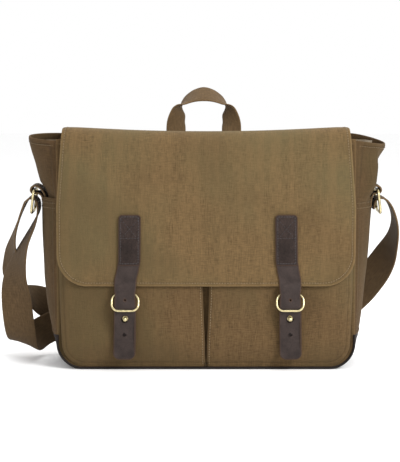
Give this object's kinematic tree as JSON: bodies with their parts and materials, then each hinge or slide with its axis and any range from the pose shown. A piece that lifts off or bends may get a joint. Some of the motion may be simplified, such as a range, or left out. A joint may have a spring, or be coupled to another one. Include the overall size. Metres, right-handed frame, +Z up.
{
  "type": "messenger bag",
  "caption": "Canvas messenger bag with a full flap, leather closure straps, front pockets, a grab handle and a webbing shoulder strap.",
  "frame": {"origin": "centre of the resting face, under the leather strip", "axes": "+Z up, +X along the bag's width, the front faces -Y"},
  "size_m": [0.498, 0.2118, 0.3389],
  "materials": {
    "body_canvas": "washed twill, matt",
    "gusset_canvas": "washed twill, matt",
    "flap_canvas": "washed twill, matt",
    "leather": "waxed, satin",
    "brass": "antique, satin",
    "lining_cloth": "plain weave",
    "divider_cloth": "brushed",
    "board": "matt",
    "webbing": "ribbed weave"
  },
  "bodies": {
    "root": {"back_panel": "body_canvas", "front_panel": "body_canvas", "base_strip": "leather", "base_stiffener": "board", "piping_front": "leather", "piping_back": "leather", "gusset_left": "gusset_canvas", "gusset_right": "gusset_canvas", "side_pocket_left": "gusset_canvas", "side_pocket_right": "gusset_canvas", "front_pocket_left": "body_canvas", "front_pocket_right": "body_canvas", "snap_socket_left": "brass", "snap_socket_right": "brass", "lining": "lining_cloth", "laptop_divider": "divider_cloth", "divider_strap": "webbing", "slip_pocket": "lining_cloth", "strap_tab_left": "webbing", "strap_tab_right": "webbing", "strap_ring_left": "brass", "strap_ring_right": "brass", "shoulder_strap": "webbing", "strap_slider": "brass", "handle_tail_left": "webbing", "handle_tail_right": "webbing"},
    "handle_loop": {"handle": "webbing"},
    "flap_over": {"flap_top": "flap_canvas"},
    "flap_drop": {"flap_front": "flap_canvas", "flap_lining": "lining_cloth", "closure_strap_left": "leather", "closure_strap_right": "leather", "anchor_tab_left": "leather", "anchor_tab_right": "leather", "stud_left": "brass", "stud_right": "brass", "snap_stud_left": "brass", "snap_stud_right": "brass"},
    "ring_left": {"closure_ring_left": "brass"},
    "ring_right": {"closure_ring_right": "brass"},
    "tail_left": {"strap_tail_left": "leather"},
    "tail_right": {"strap_tail_right": "leather"}
  },
  "joints": [
    {"name": "flap_lift", "type": "hinge", "parent": "root", "child": "flap_over", "pos_m": [0, 0.039, 0.2885], "axis": [-1, 0, 0], "range_deg": [0, 85]},
    {"name": "flap_fold", "type": "hinge", "parent": "flap_over", "child": "flap_drop", "pos_m": [0, -0.0435, 0.2905], "axis": [-1, 0, 0], "range_deg": [0, 165]},
    {"name": "handle_fold", "type": "hinge", "parent": "root", "child": "handle_loop", "pos_m": [0, 0.042, 0.2895], "axis": [-1, 0, 0], "range_deg": [0, 75]},
    {"name": "ring_swing_left", "type": "hinge", "parent": "flap_drop", "child": "ring_left", "pos_m": [-0.098, -0.0654, 0.095], "axis": [-1, 0, 0], "range_deg": [0, 90]},
    {"name": "tail_lift_left", "type": "hinge", "parent": "flap_drop", "child": "tail_left", "pos_m": [-0.098, -0.071, 0.0725], "axis": [-1, 0, 0], "range_deg": [0, 70]},
    {"name": "ring_swing_right", "type": "hinge", "parent": "flap_drop", "child": "ring_right", "pos_m": [0.102, -0.0654, 0.095], "axis": [-1, 0, 0], "range_deg": [0, 90]},
    {"name": "tail_lift_right", "type": "hinge", "parent": "flap_drop", "child": "tail_right", "pos_m": [0.102, -0.071, 0.0725], "axis": [-1, 0, 0], "range_deg": [0, 70]}
  ]
}
